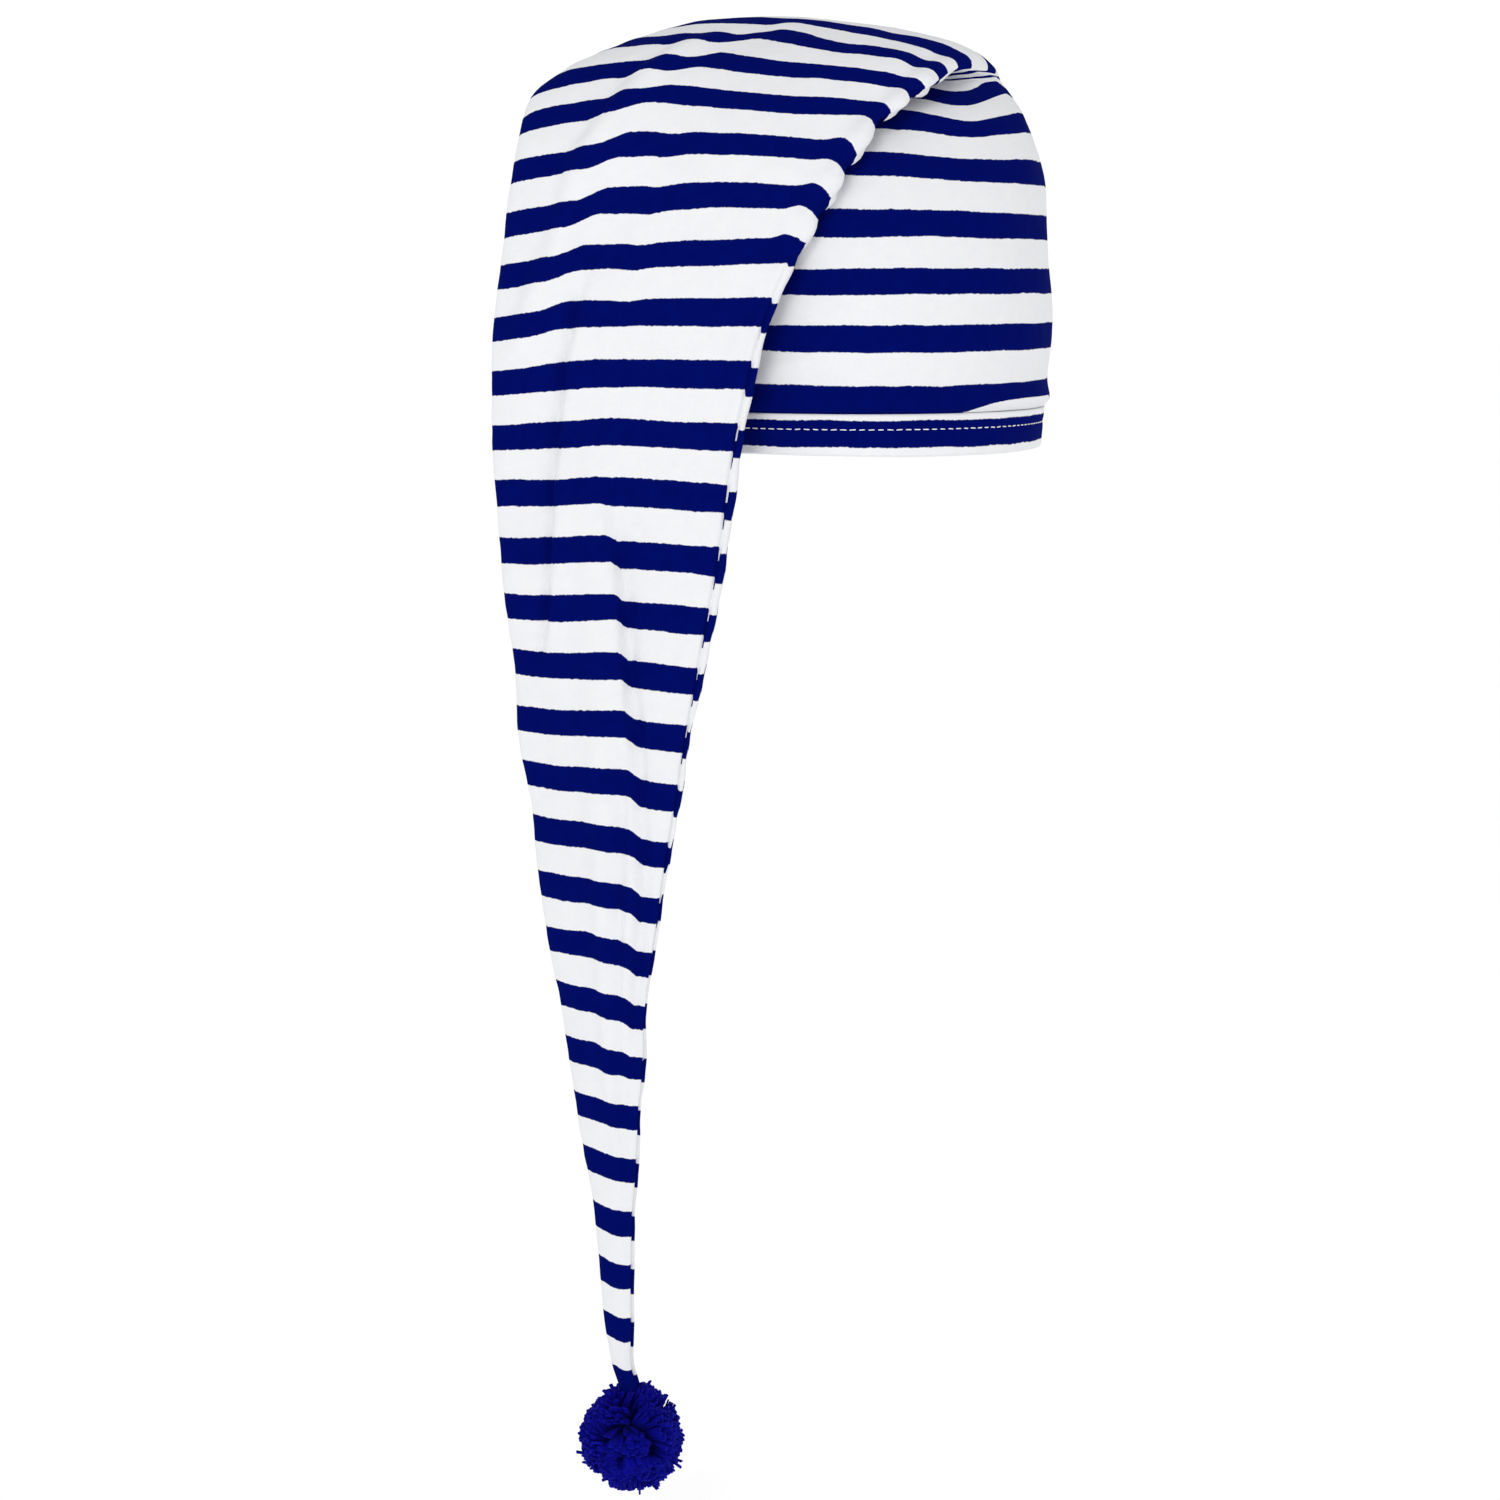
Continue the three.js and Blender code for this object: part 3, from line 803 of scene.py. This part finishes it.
class Nodes:
    """Short forms for building a material's nodes."""

    def __init__(self, name):
        self.material = bpy.data.materials.new(name)
        self.material.use_nodes = True
        self.tree = self.material.node_tree
        self.shader = self.tree.nodes["Principled BSDF"]

    def node(self, kind, **settings):
        made = self.tree.nodes.new(kind)
        for key, value in settings.items():
            setattr(made, key, value)
        return made

    def link(self, source, target):
        self.tree.links.new(source, target)

    def feed(self, socket, value):
        """Link a socket to another one, or give it a number or a colour."""
        if isinstance(value, bpy.types.NodeSocket):
            self.link(value, socket)
        elif isinstance(value, tuple):
            socket.default_value = (*value, 1)
        else:
            socket.default_value = value

    def math(self, operation, *values):
        made = self.node("ShaderNodeMath", operation=operation)
        for socket, value in zip(made.inputs, values):
            self.feed(socket, value)
        return made.outputs[0]

    def noise(self, vector, scale, detail=2.0, roughness=0.5):
        made = self.node("ShaderNodeTexNoise")
        made.inputs["Scale"].default_value = scale
        made.inputs["Detail"].default_value = detail
        made.inputs["Roughness"].default_value = roughness
        self.link(vector, made.inputs["Vector"])
        return made.outputs["Fac"]

    def wander(self, size, vector, scale, **settings):
        """Noise about zero, of a size from its lowest to its highest."""
        return self.math("MULTIPLY", self.math("SUBTRACT", self.noise(vector, scale, **settings), 0.5), size)

    def blend(self, factor, first, second):
        made = self.node("ShaderNodeMix", data_type="RGBA")
        self.link(factor, made.inputs["Factor"])
        self.feed(made.inputs[6], first)
        self.feed(made.inputs[7], second)
        return made.outputs[2]

    def bump(self, height, strength, distance):
        made = self.node("ShaderNodeBump")
        made.inputs["Strength"].default_value = strength
        made.inputs["Distance"].default_value = distance
        self.link(height, made.inputs["Height"])
        self.link(made.outputs["Normal"], self.shader.inputs["Normal"])


def blue_share(n, uv, along, centre, width, repeats):
    """1 in the blue stripes and 0 in the white ones, with slightly uneven edges."""
    fine = n.wander(STRIPE_WANDER, uv, 420, detail=3.0, roughness=0.7)
    slow = n.wander(STRIPE_DRIFT, uv, 45, detail=1.0)
    place = n.math("ADD", n.math("SUBTRACT", n.math("ADD", along, fine), centre), slow)
    if repeats:
        turns = n.math("DIVIDE", place, STRIPE_PITCH)
        nearest = n.math("SUBTRACT", turns, n.math("ROUND", turns))
        distance = n.math("MULTIPLY", n.math("ABSOLUTE", nearest), STRIPE_PITCH)
    else:
        distance = n.math("ABSOLUTE", place)
    edge = n.node("ShaderNodeMapRange", interpolation_type="SMOOTHSTEP")
    n.link(distance, edge.inputs["Value"])
    edge.inputs["From Min"].default_value = width / 2 - STRIPE_EDGE
    edge.inputs["From Max"].default_value = width / 2 + STRIPE_EDGE
    edge.inputs["To Min"].default_value = 1
    edge.inputs["To Max"].default_value = 0
    return edge.outputs["Result"]


def knit_height(n, uv, around, along):
    """Rows of knit loops between ribs, with fuzz on them."""
    column = n.math("DIVIDE", around, WALE)
    tent = n.math("ABSOLUTE", n.math("SUBTRACT", n.math("FRACT", column), 0.5))
    row = n.math("ADD", n.math("DIVIDE", along, COURSE), n.math("MULTIPLY", tent, LOOP_LEAN))
    loops = n.math("SINE", n.math("MULTIPLY", row, 2 * math.pi))
    ribs = n.math("SINE", n.math("MULTIPLY", tent, 2 * math.pi))
    knit = n.math("ADD", n.math("MULTIPLY", loops, LOOP_SHARE), n.math("MULTIPLY", ribs, RIB_SHARE))
    fuzz = n.noise(uv, 2600, detail=2.0, roughness=0.6)
    return n.math("ADD", knit, n.math("MULTIPLY", fuzz, FUZZ_SHARE))


def jersey_material(name, centre, width, repeats):
    """Striped single jersey: dyed stripes and rows of knit stitches."""
    n = Nodes(name)
    uv = n.node("ShaderNodeUVMap", uv_map="cloth").outputs["UV"]
    split = n.node("ShaderNodeSeparateXYZ")
    n.link(uv, split.inputs[0])
    around, along = split.outputs[0], split.outputs[1]

    mottle = n.noise(uv, 160, detail=3.0, roughness=0.6)
    blue = n.blend(mottle, *BLUE_DYE)
    white = n.blend(mottle, *WHITE_COTTON)
    colour = n.blend(blue_share(n, uv, along, centre, width, repeats), white, blue)
    n.link(colour, n.shader.inputs["Base Color"])
    n.shader.inputs["Roughness"].default_value = 0.95
    n.shader.inputs["Specular IOR Level"].default_value = 0.015
    n.bump(knit_height(n, uv, around, along), strength=0.35, distance=KNIT_DEPTH)
    return n.material


def thread_material():
    """White sewing thread, with its twist."""
    n = Nodes("stitch_thread")
    place = n.node("ShaderNodeTexCoord").outputs["Object"]
    twist = n.node("ShaderNodeTexWave", bands_direction="DIAGONAL")
    twist.inputs["Scale"].default_value = 900
    n.link(place, twist.inputs["Vector"])
    n.link(n.blend(n.noise(place, 500), *WHITE_THREAD), n.shader.inputs["Base Color"])
    n.shader.inputs["Roughness"].default_value = 0.6
    n.bump(twist.outputs["Fac"], strength=0.3, distance=0.1 * MM)
    return n.material


def yarn_material():
    """Dyed acrylic yarn: each strand a little lighter or darker, with painted shade deep inside the pompom
    and a soft fibrous sheen.
    """
    n = Nodes("pompom_yarn")
    place = n.node("ShaderNodeTexCoord").outputs["Object"]
    strand = n.node("ShaderNodeAttribute", attribute_name="strand").outputs["Fac"]
    # depth carries painted shade: the yarn is darker towards the pompom's middle
    depth = n.node("ShaderNodeAttribute", attribute_name="depth").outputs["Fac"]
    colour = n.blend(strand, n.blend(depth, *DARK_YARN_AND_ROOT_SHADE), n.blend(depth, *LIGHT_YARN_AND_ROOT_SHADE))
    n.link(colour, n.shader.inputs["Base Color"])
    n.shader.inputs["Roughness"].default_value = 0.8
    n.shader.inputs["Specular IOR Level"].default_value = 0.06
    n.shader.inputs["Sheen Weight"].default_value = 0.25
    n.shader.inputs["Sheen Roughness"].default_value = 0.5
    n.shader.inputs["Sheen Tint"].default_value = YARN_SHEEN
    n.bump(n.noise(place, 2400, detail=3.0, roughness=0.7), strength=0.25, distance=0.2 * MM)
    return n.material


# Pieces


def cap_cloth():
    """The crown and tail: the outside in fine relief, the inside plainer, and the rim between them."""
    start = HEM_HEIGHT + SEAM_GAP
    outside = Cloth(even_steps(start, CAP_LENGTH, RING_STEP), full_turn(SIDES), 0)
    arc = outside.arc()
    stripes = stripe_place(outside, arc)
    relief = fold_relief(outside, arc, stripes) + ripples(outside)
    points = outside.points + relief[..., None] * outside.normals()
    uvs = np.stack([arc, np.concatenate([stripes, stripes[:, :1]], axis=1)], axis=-1)

    # The inside's rows run back from the tip to the hem, so its normals point inwards
    inside_steps = even_steps(start, CAP_LENGTH - 2 * CLOTH, INSIDE_RING_STEP)[::-1]
    inside = Cloth(inside_steps, full_turn(SIDES), CLOTH)
    inside_points = inside.points - relief_inside(inside, outside, relief)[..., None] * inside.normals()
    inside_arc = inside.arc()
    inside_along = np.broadcast_to(inside.along[:, None] - RIM_WHITE, inside_arc.shape)
    inside_uvs = np.stack([inside_arc, inside_along], axis=-1)
    rings = np.concatenate([inside_points, points])
    mesh = mesh_of_rings("cap_cloth", rings, np.concatenate([inside_uvs, uvs]), close_ends=True)
    jersey = jersey_material("striped_jersey", FIRST_CROWN_BLUE, BLUE_WIDTH, repeats=True)
    return add_piece(mesh, jersey, "cap_body"), outside


def relief_inside(inside, outside, relief):
    """The outside's relief read at the inside's rings, so that the wall keeps its thickness."""
    return np.stack([np.interp(inside.along, outside.along, column) for column in relief.T], axis=1)


def cloth_ring(height, turn, inset=0):
    """One ring of the cloth: its points, their directions outwards and the distances round it."""
    ring = Cloth([height], turn, inset)
    points = ring.points[0]
    return points, unit(points * (1, 1, 0)), ring.arc()[0]


def hem_wave(points):
    """Slow waves in and out, the same for the hem and its stitches."""
    return HEM_WAVE * ripple(points * (1, 1, 0.4), HEM_WAVE_LENGTH, HEM_WAVE_SEED)


def hem_profile():
    """Height and inset of each ring of the hem: down its outside, round its rolled edge and up its inside."""
    roll = HEM_THICKNESS / 2
    outer = [(height, 0.0) for height in np.linspace(HEM_HEIGHT, roll, HEM_OUTER_ROWS)[:-1]]
    angles = np.linspace(0, math.pi, HEM_ROLL_ROWS)
    lower = [(roll * (1 - math.sin(a)), roll * (1 - math.cos(a))) for a in angles]
    inner = [(height, HEM_THICKNESS) for height in np.linspace(roll, HEM_HEIGHT, HEM_INNER_ROWS)[1:]]
    return outer + lower + inner


def hem_cloth():
    """The turned hem: a doubled band with a rolled lower edge, drawn in a little at its stitches."""
    rings, uvs = [], []
    for height, inset in hem_profile():
        points, outward, arc = cloth_ring(height, full_turn(SIDES), inset)
        pulled = bell(height - STITCH_HEIGHT, STITCH_PULL_WIDTH) * (inset == 0)
        push = hem_wave(points) - STITCH_PULL * pulled
        low = 1 - height / HEM_HEIGHT
        lift = HEM_LIFT * ripple(points * (1, 1, 0), HEM_LIFT_LENGTH, HEM_LIFT_SEED) * low
        rings.append(points + outward * push[:, None] + lift[:, None] * (0, 0, 1))
        uvs.append(np.stack([arc, np.full_like(arc, height)], axis=1))
    mesh = mesh_of_rings("hem_cloth", np.array(rings), np.array(uvs), close_ends=False)
    jersey = jersey_material("hem_jersey", HEM_BLUE, HEM_BLUE_WIDTH, repeats=False)
    return add_piece(mesh, jersey, "hem_band")


def hem_stitches():
    """A row of machine stitches round the hem."""
    around, outward, arc = cloth_ring(STITCH_HEIGHT, full_turn(STITCH_RING_SIDES))
    wave = hem_wave(around) - STITCH_PULL
    girth = arc[-1]

    def at(place, values):
        return np.interp(place, arc[:-1], values, period=girth)

    count = round(girth / STITCH_PITCH)
    rng = np.random.default_rng(STITCH_SEED)
    side = np.linspace(-1, 1, STITCH_POINTS)
    lift = THREAD * (STITCH_RISE - STITCH_DIVE * side**2)
    paths = []
    for stitch in range(count):
        length = STITCH_LENGTH * rng.uniform(*STITCH_VARIETY)
        lean = rng.uniform(-STITCH_LEAN, STITCH_LEAN)
        place = ((stitch + 0.5) * girth / count + side * length / 2) % girth
        point = np.stack([at(place, column) for column in around.T], axis=1)
        out = np.stack([at(place, column) for column in outward.T], axis=1)
        point += out * (at(place, wave) + lift)[:, None]
        point[:, 2] += lean * side
        paths.append(point)
    radii = np.full((count, STITCH_POINTS), THREAD / 2)
    mesh = tube_mesh("hem_stitches", paths, STITCH_SIDES, radii, flatness=1.0)
    return add_piece(mesh, thread_material())


def spiral_directions(count):
    """Directions spread evenly over a ball, in a spiral from pole to pole."""
    index = np.arange(count)
    height = 1 - 2 * (index + 0.5) / count
    radius = np.sqrt(1 - height**2)
    turn = index * math.pi * (3 - math.sqrt(5))
    return np.stack([radius * np.cos(turn), radius * np.sin(turn), height], axis=1)


def scattered_directions(count, scatter, rng):
    return unit(spiral_directions(count) + rng.normal(scale=scatter, size=(count, 3)))


def pompom_yarn():
    """Cut strands of yarn that stand out of a tight middle and lean over in tufts."""
    rng = np.random.default_rng(POMPOM_SEED)
    centre = (pompom_low + pompom_high) / 2
    radius = (pompom_high - pompom_low).min() / 2
    direction = scattered_directions(POMPOM_STRANDS, STRAND_SCATTER, rng)
    tufts = scattered_directions(POMPOM_TUFTS, TUFT_SCATTER, rng)
    tuft = np.argmax(direction @ tufts.T, axis=1)

    # Strands reach unevenly, those at the top up round the tail's tip
    reach = STRAND_REACH + rng.normal(scale=TUFT_UNEVENNESS, size=POMPOM_TUFTS)[tuft]
    reach += rng.normal(scale=STRAND_UNEVENNESS, size=POMPOM_STRANDS)
    reach += TOP_EXTRA * smoothstep(*TOP_UPWARD, direction[:, 2])
    stray = rng.choice(POMPOM_STRANDS, STRAY_STRANDS, replace=False)
    reach[stray] += rng.uniform(*STRAY_EXTRA, STRAY_STRANDS)
    reach = np.clip(reach, *REACH_LIMITS)

    # The strands of a tuft bend over to much the same side
    sideways = TUFT_LEAN * rng.normal(size=(POMPOM_TUFTS, 3))[tuft]
    sideways += STRAND_LEAN * rng.normal(size=(POMPOM_STRANDS, 3))
    sideways = unit(sideways - (sideways * direction).sum(axis=1, keepdims=True) * direction)
    bend = rng.uniform(*TUFT_BEND, POMPOM_TUFTS)[tuft] * rng.uniform(*STRAND_BEND, POMPOM_STRANDS)
    turned = sideways * bend[:, None] + (tufts[tuft] - direction) * GATHERED
    share = np.linspace(0, 1, len(STRAND_SWELLING))
    aim = unit(direction[:, None, :] + turned[:, None, :] * share[None, :, None] ** 2)
    out = mix(STRAND_ROOT, reach[:, None], share[None, :])
    paths = centre + aim * out[..., None] * radius

    width = STRAND_WIDTH / 2 * rng.uniform(*STRAND_VARIETY, POMPOM_STRANDS)
    radii = width[:, None] * np.array(STRAND_SWELLING)
    shade = TUFT_SHADE * rng.random(POMPOM_TUFTS)[tuft]
    shade += STRAND_SHADE * rng.random(POMPOM_STRANDS) ** STRAND_SHADE_POWER
    # The strand's tone, and painted shade that darkens the yarn towards the pompom's middle
    attributes = (
        ("strand", np.repeat(shade[:, None], len(share), axis=1)),
        ("depth", smoothstep(*ROOT_SHADE_REACH, out)),
    )
    mesh = tube_mesh("pompom_strands", paths, STRAND_SIDES, radii, STRAND_FLATNESS, attributes)
    return add_piece(mesh, yarn_material(), "pompom")


# Studio


def pale_floor():
    bpy.ops.mesh.primitive_plane_add(size=FLOOR_SIZE, location=(0, 0, cad_low[2] - FLOOR_DROP))
    floor = bpy.context.object
    floor.name = "floor"
    n = Nodes("pale_floor")
    place = n.node("ShaderNodeTexCoord").outputs["Object"]
    n.link(n.blend(n.noise(place, 3), *FLOOR_GREY), n.shader.inputs["Base Color"])
    n.shader.inputs["Roughness"].default_value = 0.9
    n.shader.inputs["Emission Color"].default_value = LIGHT_WHITE
    n.shader.inputs["Emission Strength"].default_value = FLOOR_GLOW
    floor.data.materials.append(n.material)


def soft_sky():
    """White light from all round, weaker from overhead."""
    world = bpy.data.worlds.new("studio")
    world.use_nodes = True
    tree = world.node_tree
    background = tree.nodes["Background"]
    direction = tree.nodes.new("ShaderNodeTexCoord")
    parts = tree.nodes.new("ShaderNodeSeparateXYZ")
    tree.links.new(direction.outputs["Generated"], parts.inputs[0])
    overhead = tree.nodes.new("ShaderNodeMapRange")
    tree.links.new(parts.outputs[2], overhead.inputs["Value"])
    for name, value in zip(("From Min", "From Max", "To Min", "To Max"), SKY_HEIGHTS + SKY_STRENGTHS):
        overhead.inputs[name].default_value = value
    tree.links.new(overhead.outputs["Result"], background.inputs["Strength"])
    background.inputs["Color"].default_value = LIGHT_WHITE
    bpy.context.scene.world = world


def lamps():
    for name, place, size, power in LAMPS:
        lamp = bpy.data.lights.new(name, "AREA")
        lamp.size = size
        lamp.energy = power
        holder = bpy.data.objects.new(name, lamp)
        bpy.context.scene.collection.objects.link(holder)
        holder.location = place
        x, y, z = np.array(LAMP_TARGET) - np.array(place)
        holder.rotation_euler = (math.atan2(math.hypot(x, y), -z), 0, math.atan2(-x, y))


def camera():
    view = bpy.data.cameras.new("camera")
    view.sensor_width = SENSOR_WIDTH
    view.lens = LENS
    view.clip_end = 100
    holder = bpy.data.objects.new("camera", view)
    bpy.context.scene.collection.objects.link(holder)
    holder.location = CAMERA_PLACE
    holder.rotation_euler = (math.radians(90 - CAMERA_TIP), 0, 0)
    bpy.context.scene.camera = holder


bpy.context.scene.view_settings.view_transform = "Standard"
camera()
pale_floor()
soft_sky()
lamps()
cap, cap_outside = cap_cloth()
hem = hem_cloth()
stitches = hem_stitches()
pompom = pompom_yarn()
float(cap_outside.arc()[:, -1].max())
cap_outside.flat_area()
